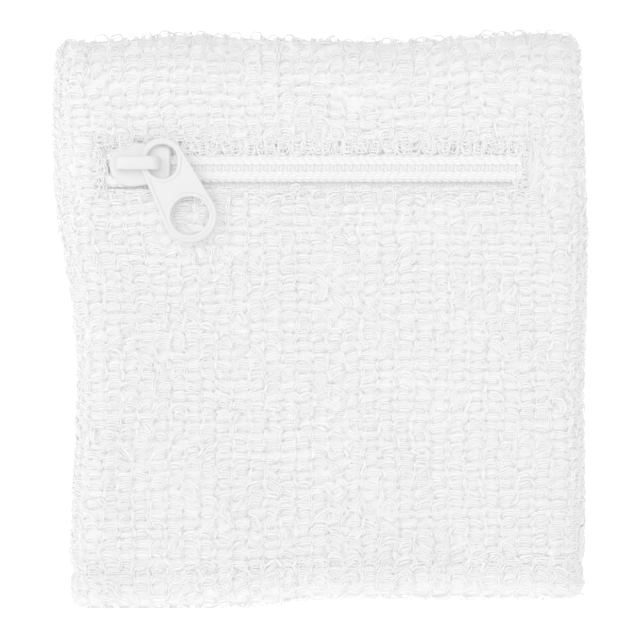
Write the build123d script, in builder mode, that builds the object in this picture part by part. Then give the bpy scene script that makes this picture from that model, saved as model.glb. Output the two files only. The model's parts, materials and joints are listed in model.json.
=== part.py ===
"""Sweat wristband with a zip pocket: a terry tube folded into two layers, with a coil zip in its front.

Frame: the band stands on its hem, +Z up. The front, with the zip, faces -Y, and +X is to the right of it.
The origin is the middle of the wrist opening, at the level of the hem's lowest point. Millimetres.
"""

import os

from build123d import *

os.makedirs("parts", exist_ok=True)

# ---------------------------------------------------------------- driving dimensions
# the flattened terry tube
band_width = 80.0
band_depth = 17.0
band_height = 87.0
side_radius = 6.0           # how tightly the tube folds at its two sides
outer_cloth = 2.0           # ground cloth and pile of the outer layer
inner_cloth = 1.8           # ground cloth and pile of the inner layer
top_fold = 2.4              # cloth over the top, where the outer layer turns in
layer_gap = 0.3             # the two layers lie almost together at the sides and the back
pocket_gap = 1.6            # and stand further apart at the front, behind the zip
rim_round = 0.85            # rounding of the top fold and of the hem roll

# the hem: the inner layer turns out at the bottom and is linked to the outer one
hem_roll = 5.4
seam_width = 1.2
seam_inset = 0.6            # the linking thread lies in a groove this deep
seam_depth = 1.4

# the zip in the front
zip_drop = 19.5             # middle of the chain below the top of the band
slot_inset_left = 6.6       # from the band's side to the end of the slot
slot_inset_right = 8.4
slot_round = 1.2
tape_thickness = 0.5
tape_width = 11.5           # each tape, from its inner edge
coil_height = 1.1
chain_width = 3.94
coil_seat = 1.07            # how far each coil lies on its tape
chain_gap = 0.2             # between the left bar tack and the end of the chain
cord_width = 0.7            # core cord inside each coil
cord_height = 0.4
thread_height = 0.2         # sewing thread on top of each coil
thread_width = 0.9
thread_shift = 0.2          # the stitches lie off the middle of the coil, towards the tape's outer edge
tape_seam = 5.6             # line of stitches that holds each tape, from the middle of the chain
tape_seam_size = 0.4
tack_width = 0.8
tack_height = 0.9

# the slider
slider_length = 9.3
slider_width = 6.8
slider_tail = 5.5           # width at the end where the closed chain leaves
tail_round = 0.9
slider_inset = 1.4          # from the slot's left end to the slider's nose, with the zip closed
front_plate = 0.9
front_round = 0.4
back_plate = 0.6
back_round = 0.24
slider_clearance = 0.25     # round the chain and the tapes
slot_clearance = 0.3        # between the slider's edges and the cloth
wedge_half = 0.5            # the diamond between the two plates, which parts the coils
wedge_nose = 0.7            # distance of its parts from the slider's nose
wedge_full = 1.4
wedge_waist = 2.6
wedge_tip = 4.2
wedge_clearance = 0.28      # between the wedge and the parted coils
parts_at = 5.6              # the coils begin to part this far from the slider's nose
apart_at = 2.6              # and are apart from here on
bridge_width = 2.1
bridge_bar = 0.9
bridge_foot = 1.2
bridge_left = 0.8           # from the slider's nose to the bridge
bridge_length = 7.0
bridge_round = 0.35
bridge_corner = 0.8

# the pull tab: a pear shape with a ring at its small end, linked under the bridge
pull_thickness = 1.0
pull_clearance = 0.25       # between the ring and the front plate
bridge_clearance = 0.3      # between the ring and the bridge's bar
ring_hole = 2.3             # radii
ring_rim = 1.0
grip_hole = 2.9
grip_rim = 1.2
hole_distance = 9.0
pull_lean = 28.0            # degrees from straight down, towards the right
rim_at = 5.3                # where the ring passes under the bridge, from the slider's nose
recess_depth = 0.18
recess_margin = 0.6
pull_round = 0.28

overrun = 1.0               # how far a cut runs past what it cuts

# ---------------------------------------------------------------- derived places
half_width, half_depth = band_width / 2, band_depth / 2
cavity_width = band_width - 2 * outer_cloth
cavity_depth = band_depth - 2 * outer_cloth
cavity_radius = side_radius - outer_cloth
inner_width = cavity_width - 2 * layer_gap
inner_depth = cavity_depth - layer_gap - pocket_gap
inner_radius = cavity_radius - layer_gap
inner_middle = (pocket_gap - layer_gap) / 2
opening_width = inner_width - 2 * inner_cloth
opening_depth = inner_depth - 2 * inner_cloth
opening_radius = inner_radius - inner_cloth
seam_top = hem_roll + seam_width
fold_under = band_height - top_fold

zip_height = band_height - zip_drop
slot_left = slot_inset_left - half_width
slot_right = half_width - slot_inset_right
tape_front = -half_depth + outer_cloth
tape_back = tape_front + tape_thickness
coil_front = tape_front - coil_height
thread_front = coil_front - thread_height
plate_back = thread_front - slider_clearance
plate_front = plate_back - front_plate
back_plate_front = tape_back + slider_clearance
ring_back = plate_front - pull_clearance
ring_front = ring_back - pull_thickness
bar_back = ring_front - bridge_clearance
bar_front = bar_back - bridge_bar

chain_half = chain_width / 2
tape_edge = chain_half - coil_seat
chain_spread = wedge_half + wedge_clearance     # how far the wedge parts each coil
chain_left = slot_left + tack_width + chain_gap
chain_right = slot_right - tack_width
slider_left = slot_left + slider_inset
slider_right = slider_left + slider_length
chain_parts = slider_left + parts_at
chain_apart = slider_left + apart_at
tape_reach = half_width - side_radius
slot_half = slider_width / 2 + slot_clearance


def front_plane(y):
    """A sketch plane facing the front: its x is +X, its y is +Z, and extrusions go towards the front."""
    return Plane(origin=(0, y, 0), x_dir=(1, 0, 0), z_dir=(0, -1, 0))


def coil_outline(near, far, side):
    """Closed outline of a strip of one half of the chain, between two distances from its middle.

    The strip runs straight along the closed chain and parts from the other half inside the slider.
    """
    points = [
        (chain_right, near),
        (chain_parts, near),
        (chain_apart, near + chain_spread),
        (chain_left, near + chain_spread),
        (chain_left, far + chain_spread),
        (chain_apart, far + chain_spread),
        (chain_parts, far),
        (chain_right, far),
    ]
    placed = [(x, zip_height + side * z) for x, z in points]
    return Polyline(placed, close=True)


def export(part, label):
    """Write one finished piece to its own file."""
    part.label = label
    export_step(part, f"parts/{label}.step")


# ---------------------------------------------------------------- the two layers of cloth
with BuildPart() as outer_sleeve:
    with BuildSketch(Plane.XY.offset(seam_top)):
        RectangleRounded(band_width, band_depth, side_radius)
    extrude(amount=band_height - seam_top)
    fillet(outer_sleeve.edges().group_by(Axis.Z)[-1], rim_round)
    with BuildSketch(Plane.XY.offset(seam_top)):
        RectangleRounded(cavity_width, cavity_depth, cavity_radius)
    extrude(amount=fold_under - seam_top, mode=Mode.SUBTRACT)
    with BuildSketch(Plane.XY.offset(fold_under)):
        with Locations((0, inner_middle)):
            RectangleRounded(opening_width, opening_depth, opening_radius)
    extrude(amount=top_fold, mode=Mode.SUBTRACT)
    fillet(outer_sleeve.edges().group_by(Axis.Z)[-1], rim_round)
    with BuildSketch(front_plane(tape_front)):
        with Locations(((slot_left + slot_right) / 2, zip_height)):
            RectangleRounded(slot_right - slot_left, 2 * slot_half, slot_round)
    extrude(amount=outer_cloth, mode=Mode.SUBTRACT)
export(outer_sleeve.part, "outer_sleeve")

with BuildPart() as inner_sleeve:
    with BuildSketch():
        RectangleRounded(band_width, band_depth, side_radius)
    extrude(amount=hem_roll)
    fillet(inner_sleeve.edges().group_by(Axis.Z)[0], rim_round)
    with BuildSketch(Plane.XY.offset(hem_roll)):
        with Locations((0, inner_middle)):
            RectangleRounded(inner_width, inner_depth, inner_radius)
    extrude(amount=fold_under - hem_roll)
    with BuildSketch():
        with Locations((0, inner_middle)):
            RectangleRounded(opening_width, opening_depth, opening_radius)
    extrude(amount=fold_under, mode=Mode.SUBTRACT)
    fillet(inner_sleeve.edges().group_by(Axis.Z)[0], rim_round)
export(inner_sleeve.part, "inner_sleeve")

with BuildPart() as hem_seam:
    with BuildSketch(Plane.XY.offset(hem_roll)):
        RectangleRounded(
            band_width - 2 * seam_inset, band_depth - 2 * seam_inset, side_radius - seam_inset
        )
        seam_inner = seam_inset + seam_depth
        RectangleRounded(
            band_width - 2 * seam_inner,
            band_depth - 2 * seam_inner,
            side_radius - seam_inner,
            mode=Mode.SUBTRACT,
        )
    extrude(amount=seam_width)
export(hem_seam.part, "hem_seam")

# ---------------------------------------------------------------- the zip, upper and lower half
for half, side in (("upper", 1), ("lower", -1)):
    with BuildPart() as tape:
        with BuildSketch(front_plane(tape_back)):
            with Locations((0, zip_height + side * (tape_edge + tape_width / 2))):
                Rectangle(2 * tape_reach, tape_width)
        extrude(amount=tape_thickness)
    export(tape.part, f"zipper_tape_{half}")

    cord_near = (chain_half - cord_width) / 2
    with BuildPart() as cord:
        with BuildSketch(front_plane(tape_front - (coil_height - cord_height) / 2)):
            with BuildLine():
                coil_outline(cord_near, cord_near + cord_width, side)
            make_face()
        extrude(amount=cord_height)
    export(cord.part, f"coil_cord_{half}")

    with BuildPart() as coil:
        with BuildSketch(front_plane(tape_front)):
            with BuildLine():
                coil_outline(0, chain_half, side)
            make_face()
        extrude(amount=coil_height)
        add(cord.part, mode=Mode.SUBTRACT)
    export(coil.part, f"coil_{half}")

    thread_near = (chain_half - thread_width) / 2 + thread_shift
    with BuildPart() as coil_stitch:
        with BuildSketch(front_plane(coil_front)):
            with BuildLine():
                coil_outline(thread_near, thread_near + thread_width, side)
            make_face()
        extrude(amount=thread_height)
    export(coil_stitch.part, f"coil_stitch_{half}")

    with BuildPart() as tape_stitch:
        with BuildSketch(front_plane(tape_back + tape_seam_size)):
            with Locations(((slot_left + slot_right) / 2, zip_height + side * tape_seam)):
                Rectangle(slot_right - slot_left, tape_seam_size)
        extrude(amount=tape_seam_size)
    export(tape_stitch.part, f"tape_stitch_{half}")

tack_length = 2 * (slot_half - slot_round)
for end, tack_x in (("left", slot_left + tack_width / 2), ("right", slot_right - tack_width / 2)):
    with BuildPart() as bar_tack:
        with BuildSketch(front_plane(tape_front)):
            with Locations((tack_x, zip_height)):
                Rectangle(tack_width, tack_length)
        extrude(amount=tack_height)
    export(bar_tack.part, f"bar_tack_{end}")

# ---------------------------------------------------------------- the slider
nose_radius = slider_width / 2
wedge_points = [
    (slider_left + wedge_nose, 0),
    (slider_left + wedge_full, wedge_half),
    (slider_left + wedge_waist, wedge_half),
    (slider_left + wedge_tip, 0),
    (slider_left + wedge_waist, -wedge_half),
    (slider_left + wedge_full, -wedge_half),
]


def plate_outline():
    """Outline of both plates: a round nose that tapers to the tail."""
    with BuildSketch(mode=Mode.PRIVATE) as outline:
        with Locations((slider_left + nose_radius, zip_height)):
            Circle(nose_radius)
        tail_x = slider_right - tail_round
        tail_z = slider_tail / 2 - tail_round
        with Locations((tail_x, zip_height + tail_z), (tail_x, zip_height - tail_z)):
            Circle(tail_round)
        make_hull()
    return outline.sketch


def chain_channel():
    """The way through the slider: the chain's outline on both sides, with clearance round it."""
    wide = chain_half + slider_clearance
    with BuildSketch(mode=Mode.PRIVATE) as channel:
        with BuildLine():
            Polyline(
                (slider_right + overrun, zip_height + wide),
                (chain_parts, zip_height + wide),
                (chain_apart, zip_height + wide + chain_spread),
                (slider_left - overrun, zip_height + wide + chain_spread),
                (slider_left - overrun, zip_height - wide - chain_spread),
                (chain_apart, zip_height - wide - chain_spread),
                (chain_parts, zip_height - wide),
                (slider_right + overrun, zip_height - wide),
                close=True,
            )
        make_face()
    return channel.sketch


arch_middle = slider_left + bridge_left + bridge_length / 2
foot_root = plate_front + front_plate / 2
rise = foot_root - bar_front
window = foot_root - bar_back

with BuildPart() as bridge:
    with BuildSketch(Plane.XY.offset(zip_height - bridge_width / 2)):
        with Locations((arch_middle, bar_front + rise / 2)):
            Rectangle(bridge_length, rise)
        with Locations((arch_middle, bar_back + window / 2)):
            Rectangle(bridge_length - 2 * bridge_foot, window, mode=Mode.SUBTRACT)
    extrude(amount=bridge_width)
    fillet(bridge.edges().filter_by(Axis.Z).group_by(Axis.Y)[0], bridge_corner)
    outside = bridge.edges().filter_by(Axis.X).group_by(Axis.Y)[0]
    underside = bridge.edges().filter_by(Axis.X).group_by(Axis.Y)[1]
    fillet(outside + underside, bridge_round)

with BuildPart() as slider_body:
    with BuildSketch(front_plane(plate_back)):
        add(plate_outline())
    extrude(amount=front_plate)
    fillet(slider_body.edges().group_by(Axis.Y)[0], front_round)
    with BuildSketch(front_plane(tape_front - slider_clearance)):
        add(plate_outline())
        add(chain_channel(), mode=Mode.SUBTRACT)
    extrude(amount=tape_front - slider_clearance - plate_back)
    with BuildSketch(front_plane(back_plate_front + back_plate)):
        add(plate_outline())
    extrude(amount=back_plate)
    fillet(slider_body.edges().group_by(Axis.Y)[-1], back_round)
    with BuildSketch(front_plane(back_plate_front)):
        with BuildLine():
            Polyline([(x, zip_height + z) for x, z in wedge_points], close=True)
        make_face()
    extrude(amount=back_plate_front - plate_back)
    add(bridge.part)
export(slider_body.part, "slider_body")

# ---------------------------------------------------------------- the pull tab
rim_x = slider_left + rim_at
ring_x = rim_x + ring_rim / 2 + ring_hole


def pull_plane(y):
    """A sketch plane at the ring's middle whose y axis points from the grip hole to the ring."""
    return Plane(origin=(ring_x, y, zip_height), x_dir=(1, 0, 0), z_dir=(0, -1, 0)).rotated(
        (0, -pull_lean, 0)
    )


def pull_outline(inset):
    """The pull's pear shape, smaller all round by the inset."""
    with BuildSketch(mode=Mode.PRIVATE) as outline:
        Circle(ring_hole + ring_rim - inset)
        with Locations((0, -hole_distance)):
            Circle(grip_hole + grip_rim - inset)
        make_hull()
    return outline.sketch


with BuildPart() as pull_tab:
    with BuildSketch(pull_plane(ring_back)):
        add(pull_outline(0))
        Circle(ring_hole, mode=Mode.SUBTRACT)
        with Locations((0, -hole_distance)):
            Circle(grip_hole, mode=Mode.SUBTRACT)
    extrude(amount=pull_thickness)
    fillet(pull_tab.edges().group_by(Axis.Y)[0], pull_round)
    fillet(pull_tab.edges().group_by(Axis.Y)[-1], pull_round)
    for recess_floor in (ring_front + recess_depth, ring_back):
        with BuildSketch(pull_plane(recess_floor)):
            add(pull_outline(recess_margin))
            Circle(ring_hole + recess_margin, mode=Mode.SUBTRACT)
            with Locations((0, -hole_distance)):
                Circle(grip_hole + recess_margin, mode=Mode.SUBTRACT)
        extrude(amount=recess_depth, mode=Mode.SUBTRACT)
export(pull_tab.part, "pull_tab")
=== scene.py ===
"""Looks of the zip-pocket sweat wristband: terry loops, knitted ground, coil zip, slider and pull.

Lengths are millimetres in the row frame, and make_mesh turns them into metres. Distances s run round
the band from the front's left end, and distances walk run along the cloth from its seam, up the
outside, over the top fold, down the inside and round the hem.
"""

import json
import math

import bpy
import numpy as np
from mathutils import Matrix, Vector


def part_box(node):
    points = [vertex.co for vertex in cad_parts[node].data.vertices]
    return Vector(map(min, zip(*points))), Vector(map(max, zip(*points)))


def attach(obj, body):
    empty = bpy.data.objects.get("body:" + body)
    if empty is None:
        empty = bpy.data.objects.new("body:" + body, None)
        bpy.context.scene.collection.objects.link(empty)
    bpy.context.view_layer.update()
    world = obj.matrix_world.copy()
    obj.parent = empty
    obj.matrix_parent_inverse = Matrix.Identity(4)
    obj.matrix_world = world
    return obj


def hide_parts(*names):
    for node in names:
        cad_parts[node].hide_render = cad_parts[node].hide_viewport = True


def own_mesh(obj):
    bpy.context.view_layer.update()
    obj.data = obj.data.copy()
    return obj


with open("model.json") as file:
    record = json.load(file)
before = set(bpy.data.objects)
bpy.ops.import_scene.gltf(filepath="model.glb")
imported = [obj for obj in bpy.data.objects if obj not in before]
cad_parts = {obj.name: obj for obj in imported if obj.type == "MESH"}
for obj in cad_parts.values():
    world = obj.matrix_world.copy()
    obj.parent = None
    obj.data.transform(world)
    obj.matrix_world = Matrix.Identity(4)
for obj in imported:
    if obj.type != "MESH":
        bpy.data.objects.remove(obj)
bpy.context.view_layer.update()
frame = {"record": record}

record = frame["record"]
random = np.random.default_rng(63)
MM = 0.001


def box_mm(node):
    """Lowest and highest corner of a CAD node, in millimetres."""
    return [np.array([c / MM for c in corner]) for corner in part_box(node)]


# ---------------------------------------------------------------- sizes, from the frame
_, sleeve_high = box_mm("outer_sleeve")
tape_low, tape_high = box_mm("zipper_tape_upper")
lower_tape_low, lower_tape_high = box_mm("zipper_tape_lower")
coil_low, coil_high = box_mm("coil_upper")
tack_left_low, tack_left_high = box_mm("bar_tack_left")
tack_right_low, tack_right_high = box_mm("bar_tack_right")
slider_low, slider_high = box_mm("slider_body")
pull_low, pull_high = box_mm("pull_tab")
seam_low, seam_high = box_mm("hem_seam")
stitch_low, stitch_high = box_mm("tape_stitch_upper")
way_low, way_high = [np.array(c) / MM for c in record["physics"]["openings"][0]["box_m"]]

PILE = 1.2                  # how far the loops stand out of the ground cloth
GROUND = 0.7                # thickness of the knitted ground
WAY_MARGIN = 0.65           # from the wrist opening's stated box to the cloth around it
SLIDER_PLAY = 0.3           # from the slider's sides to the slot's edges
half_width = sleeve_high[0]
half_depth = sleeve_high[1]
top = sleeve_high[2]
zip_z = (slider_low[2] + slider_high[2]) / 2
slot_left, slot_right = tack_left_low[0], tack_right_high[0]
slot_half = (slider_high[2] - slider_low[2]) / 2 + SLIDER_PLAY
tape_front, tape_back = tape_low[1], tape_high[1]
coil_front = coil_low[1]


# ---------------------------------------------------------------- small tools
def smooth_step(low, high, value):
    """From 0 at low to 1 at high, level at both ends."""
    t = np.clip((value - low) / (high - low), 0, 1)
    return t * t * (3 - 2 * t)


def unit(vectors):
    """The vectors with length 1."""
    return vectors / np.maximum(np.linalg.norm(vectors, axis=-1, keepdims=True), 1e-9)


def wander(x, y, scale, seed):
    """A smooth field between about -1 and 1 that changes over the given length."""
    phases = np.random.default_rng(seed)
    total = 0
    for turn in phases.uniform(0, 2 * math.pi, 5):
        stretch = phases.uniform(0.7, 1.5)
        along = x * math.cos(turn) + y * math.sin(turn)
        total = total + np.sin(2 * math.pi * along * stretch / scale + phases.uniform(0, 6.3))
    return total / 2.6


def make_mesh(name, points, faces, material, body, smooth=True, map_at=None):
    """A piece from points in millimetres and faces of three or four corners, riding on a body."""
    mesh = bpy.data.meshes.new(name)
    points, faces = np.asarray(points, float), np.asarray(faces, int)
    corners = faces.shape[1]
    mesh.vertices.add(len(points))
    mesh.vertices.foreach_set("co", (points * MM).ravel())
    mesh.loops.add(faces.size)
    mesh.loops.foreach_set("vertex_index", faces.ravel())
    mesh.polygons.add(len(faces))
    mesh.polygons.foreach_set("loop_start", np.arange(len(faces)) * corners)
    mesh.update(calc_edges=True)
    mesh.polygons.foreach_set("use_smooth", np.full(len(faces), smooth))
    if map_at is not None:
        layer = mesh.uv_layers.new(name="OFBake")
        layer.data.foreach_set("uv", np.asarray(map_at, float)[faces.ravel()].ravel())
    mesh.materials.append(material)
    piece = bpy.data.objects.new(name, mesh)
    bpy.context.scene.collection.objects.link(piece)
    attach(piece, body)
    return piece


def grid_faces(rows, columns, row_wraps=False, column_wraps=False):
    """Quads of a grid of points counted row by row."""
    row = np.arange(rows if row_wraps else rows - 1)
    column = np.arange(columns if column_wraps else columns - 1)
    r, c = (a.ravel() for a in np.meshgrid(row, column, indexing="ij"))
    r2, c2 = (r + 1) % rows, (c + 1) % columns
    return np.stack([r * columns + c, r * columns + c2, r2 * columns + c2, r2 * columns + c], 1)


def tubes(paths, radius, sides, facing):
    """Tubes along many paths at once.

    paths is (strands, points, 3); radius is a number or (strands, points); facing is one direction for
    each strand that its path never runs along. Ends are closed when a tube has four sides.
    """
    paths = np.asarray(paths, float)
    strands, count = paths.shape[:2]
    along = unit(np.gradient(paths, axis=1))
    facing = np.broadcast_to(np.asarray(facing, float).reshape(-1, 1, 3), paths.shape)
    across = unit(np.cross(along, facing))
    other = np.cross(along, across)
    radius = np.broadcast_to(np.asarray(radius, float), (strands, count))[..., None, None]
    turn = np.arange(sides) * 2 * math.pi / sides
    ring = np.cos(turn)[:, None] * across[:, :, None, :]
    ring = ring + np.sin(turn)[:, None] * other[:, :, None, :]
    points = (paths[:, :, None, :] + radius * ring).reshape(-1, 3)
    one = grid_faces(count, sides, column_wraps=True)
    if sides == 4:
        last = (count - 1) * 4
        one = np.vstack([one, [[3, 2, 1, 0], [last, last + 1, last + 2, last + 3]]])
    shift = np.arange(strands)[:, None, None] * count * sides
    return points, (one[None] + shift).reshape(-1, 4)


def rail(path, flat_axis, half_in_plane, half_flat, closed=False, sides=20, square=0.55):
    """A bar of rounded section along a path that lies in one plane; flat_axis stands square to it."""
    path = np.asarray(path, float)
    if closed:
        along = np.roll(path, -1, axis=0) - np.roll(path, 1, axis=0)
    else:
        along = np.gradient(path, axis=0)
    across = unit(np.cross(unit(along), flat_axis))
    turn = np.arange(sides) * 2 * math.pi / sides
    wide = np.sign(np.cos(turn)) * np.abs(np.cos(turn)) ** square
    tall = np.sign(np.sin(turn)) * np.abs(np.sin(turn)) ** square
    ring = half_in_plane * wide[:, None] * across[:, None, :]
    ring = ring + half_flat * tall[:, None] * np.array(flat_axis)
    points = (path[:, None, :] + ring).reshape(-1, 3)
    return points, grid_faces(len(path), sides, row_wraps=closed, column_wraps=True)


def joined(parts):
    """Several (points, faces) as one."""
    shift, points, faces = 0, [], []
    for p, f in parts:
        points.append(p)
        faces.append(f + shift)
        shift += len(p)
    return np.vstack(points), np.vstack(faces)


# ---------------------------------------------------------------- shader maths
class Wire:
    """An output socket that numbers and other wires can be added to, taken from or multiplied by."""

    def __init__(self, tree, socket):
        self.tree, self.socket = tree, socket

    def math(self, operation, *values):
        """This wire and any values put through one Math node."""
        sockets = dict(enumerate((self, *values)))
        return node(self.tree, "ShaderNodeMath", sockets, operation=operation)

    def __add__(self, other):
        return self.math("ADD", other)

    def __sub__(self, other):
        return self.math("SUBTRACT", other)

    def __mul__(self, other):
        return self.math("MULTIPLY", other)

    def __rsub__(self, other):
        return node(self.tree, "ShaderNodeMath", {0: other, 1: self}, operation="SUBTRACT")

    __radd__, __rmul__ = __add__, __mul__


def node(tree, kind, sockets, output=0, **settings):
    """A node with its settings, then the values or wires of its sockets. Returns one output."""
    made = tree.nodes.new(kind)
    for name, value in settings.items():
        setattr(made, name, value)
    for name, value in sockets.items():
        if isinstance(value, Wire):
            tree.links.new(value.socket, made.inputs[name])
        else:
            made.inputs[name].default_value = value
    return Wire(tree, made.outputs[output])


def rgba(colour):
    """A grey or a colour as a socket takes it. A wire stays as it is."""
    if isinstance(colour, Wire):
        return colour
    if isinstance(colour, float):
        colour = (colour, colour, colour)
    return (*colour, 1)


def finish_of(name, colour, roughness, **constants):
    """A material with one Principled shader. Returns it with its tree and its shader."""
    material = bpy.data.materials.new(name)
    material.use_nodes = True
    tree = material.node_tree
    shader = tree.nodes["Principled BSDF"]
    shader.inputs["Base Color"].default_value = rgba(colour)
    shader.inputs["Roughness"].default_value = roughness
    for socket, value in constants.items():
        shader.inputs[socket.replace("_", " ")].default_value = value
    return material, tree, shader


def plug(tree, wire, shader, socket):
    """Puts a wire into a named socket of the shader."""
    tree.links.new(wire.socket, shader.inputs[socket])


def place_in(tree):
    """Where a point lies on its piece, in metres."""
    return node(tree, "ShaderNodeTexCoord", {}, output="Object")


def tinted(tree, amount, first, second):
    """Between two colours by an amount from 0 to 1."""
    sockets = {0: amount, 6: rgba(first), 7: rgba(second)}
    return node(tree, "ShaderNodeMix", sockets, output=2, data_type="RGBA")


def noise(tree, scale, detail=2.0, roughness=0.5):
    """Cloudy noise with about this many lumps to a metre."""
    sockets = {"Vector": place_in(tree), "Scale": scale, "Detail": detail, "Roughness": roughness}
    return node(tree, "ShaderNodeTexNoise", sockets)


def bands(tree, direction, scale, distortion, detail=1.0):
    """Wavy stripes that follow one another in the given direction."""
    sockets = {
        "Vector": place_in(tree), "Scale": scale, "Distortion": distortion, "Detail": detail,
    }
    return node(tree, "ShaderNodeTexWave", sockets, bands_direction=direction)


def bumped(tree, height, strength, distance, shader):
    """Gives the shader a bump of a wire's height; distance is in metres."""
    sockets = {"Height": height, "Strength": strength, "Distance": distance}
    plug(tree, node(tree, "ShaderNodeBump", sockets), shader, "Normal")


SHADE_FROM = 6.0           # how far below the top the painted shade of the top fold begins


def shaded_towards_top(tree, clean):
    """The colour of the cloth with painted shade that greys it towards the top fold, where the fold turns
    away from the light.
    """
    height = node(tree, "ShaderNodeSeparateXYZ", {0: place_in(tree)}, output="Z")
    top_shade = node(
        tree, "ShaderNodeMapRange",
        {0: height, 1: (top - SHADE_FROM) * MM, 2: (top + 1.0) * MM, 3: 0.0, 4: 1.0},
        interpolation_type="SMOOTHSTEP",
    )
    # painted shade of the top fold: the colour greys to 0.72 towards the top
    return tinted(tree, top_shade, clean, 0.72)


def cotton_yarn():
    """Bleached cotton pile yarn: matt, faintly uneven, with a fine fibre grain."""
    material, tree, shader = finish_of(
        "cotton_yarn", 0.95, 0.92, Sheen_Weight=0.2, Sheen_Roughness=0.6, Specular_IOR_Level=0.2,
        Subsurface_Weight=0.6, Subsurface_Scale=0.0005, Subsurface_Radius=(1, 1, 1),
    )
    clean = tinted(tree, noise(tree, 140.0, 3.0), 0.965, (0.94, 0.94, 0.942))
    # the yarn's colour carries painted shade at the top fold
    plug(tree, shaded_towards_top(tree, clean), shader, "Base Color")
    bumped(tree, noise(tree, 9000.0, 2.0, 0.7), 0.35, 0.00004, shader)
    return material


def knitted_ground():
    """The knit that the loops stand in: small ribs of yarn along the courses and the wales."""
    material, tree, shader = finish_of("knitted_ground", 0.95, 0.95, Sheen_Weight=0.2)
    knit = bands(tree, "X", 260.0, 1.5) * 0.5 + bands(tree, "Z", 330.0, 2.0) * 0.5
    # the ground's grey, darker than the yarn, is painted shade in the hollows between the loops; it greys
    # further with the painted shade of the top fold
    plug(tree, shaded_towards_top(tree, tinted(tree, knit, 0.72, 0.8)), shader, "Base Color")
    bumped(tree, knit, 0.6, 0.0002, shader)
    return material


def sewing_thread():
    """Twisted polyester thread, shinier than the cotton."""
    material, tree, shader = finish_of("sewing_thread", 0.92, 0.5, Sheen_Weight=0.15)
    twist = bands(tree, "DIAGONAL", 1500.0, 0.6)
    plug(tree, tinted(tree, twist, 0.71, 0.77), shader, "Base Color")
    bumped(tree, twist, 0.5, 0.00005, shader)
    return material


def woven_tape():
    """Zip tape: a fine matt weave over its crosswise ribs."""
    material, tree, shader = finish_of("woven_tape", 0.88, 0.8, Sheen_Weight=0.1)
    weft = bands(tree, "Z", 1100.0, 1.2, 2.0)
    # the tape's grey, darker than the cloth, is painted shade under the chain and the overhanging loops
    plug(tree, tinted(tree, weft, 0.6, 0.68), shader, "Base Color")
    bumped(tree, weft, 0.4, 0.00006, shader)
    return material


def nylon_coil():
    """Milky nylon monofilament with a satin surface."""
    material, tree, shader = finish_of(
        "nylon_coil", 0.9, 0.35, Subsurface_Weight=0.4, Subsurface_Scale=0.0005,
        Subsurface_Radius=(1, 1, 1),
    )
    haze = noise(tree, 700.0)
    plug(tree, haze * 0.2 + 0.26, shader, "Roughness")
    plug(tree, tinted(tree, haze, (0.62, 0.62, 0.625), 0.68), shader, "Base Color")
    return material


def slider_paint():
    """Baked white paint on the castings: satin, with a faint orange peel."""
    material, tree, shader = finish_of("slider_paint", 0.52, 0.36, Coat_Weight=0.2, Coat_Roughness=0.25)
    clouds = noise(tree, 260.0)
    plug(tree, clouds * 0.14 + 0.3, shader, "Roughness")
    plug(tree, tinted(tree, clouds, 0.53, (0.505, 0.505, 0.507)), shader, "Base Color")
    bumped(tree, noise(tree, 1600.0), 0.12, 0.00004, shader)
    return material


yarn = cotton_yarn()
ground_knit = knitted_ground()
thread = sewing_thread()
tape_cloth = woven_tape()
nylon = nylon_coil()
paint = slider_paint()


# ---------------------------------------------------------------- the shape of the cloth
class Outline:
    """A rounded rectangle seen from above, walked once round from the front's left end."""

    def __init__(self, half_x, half_y, radius, middle_y):
        self.half_x, self.half_y, self.radius, self.middle_y = half_x, half_y, radius, middle_y
        flat_x, flat_y = 2 * (half_x - radius), 2 * (half_y - radius)
        corner = math.pi / 2 * radius
        self.lengths = np.array([flat_x, corner, flat_y, corner] * 2)
        self.length = self.lengths.sum()

    def share(self, s):
        """Piece number plus the share of that piece, for a distance walked."""
        ends = np.concatenate([[0], np.cumsum(self.lengths)])
        return np.interp(np.mod(s, self.length), ends, np.arange(9.0))

    def at(self, share, inset):
        """x and y at a share, with the whole outline moved inwards by inset."""
        piece = np.floor(share).astype(int) % 8
        f = share % 1
        straight_x, straight_y = self.half_x - self.radius, self.half_y - self.radius
        radius = self.radius - inset
        corner_x = np.array([1, 1, 1, 1, -1, -1, -1, -1])[piece] * straight_x
        corner_y = np.array([-1, -1, 1, 1, 1, 1, -1, -1])[piece] * straight_y
        start = np.array([-1, -1, 0, 0, 1, 1, 2, 2])[piece] * math.pi / 2
        angle = start + np.where(piece % 2 == 1, f * math.pi / 2, 0)
        run = np.where(piece % 2 == 0, f - 1, 0)
        length = np.where(piece % 4 == 0, 2 * straight_x, 2 * straight_y)
        x = corner_x + radius * np.cos(angle) - run * length * np.sin(angle)
        y = corner_y + radius * np.sin(angle) + run * length * np.cos(angle)
        return x, y + self.middle_y


outer = Outline(half_width - PILE, half_depth - PILE, 6.0 - PILE, 0.0)
flattened_pile = PILE * 0.8
inner_half_x = way_high[0] + WAY_MARGIN + flattened_pile
inner_half_y = (way_high[1] - way_low[1]) / 2 + WAY_MARGIN + flattened_pile
inner = Outline(inner_half_x, inner_half_y, 2.9, (way_high[1] + way_low[1]) / 2)

FOLD = 1.8                  # height of the rounding at the top fold and at the hem
ground_top = top - PILE
ground_bottom = PILE - 0.2
seam_z = (seam_low[2] + seam_high[2]) / 2

fold_walk = math.pi * 1.6   # distance along the cloth, over the top fold or round the hem
walk_lengths = [
    ground_top - FOLD - seam_z,
    fold_walk,
    ground_top - FOLD - (ground_bottom + FOLD),
    fold_walk,
    seam_z - ground_bottom - FOLD,
]
walk_ends = np.concatenate([[0], np.cumsum(walk_lengths)])
WALK = walk_ends[-1]
fold_middle = (walk_ends[1] + walk_ends[2]) / 2
hem_middle = (walk_ends[3] + walk_ends[4]) / 2


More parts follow.
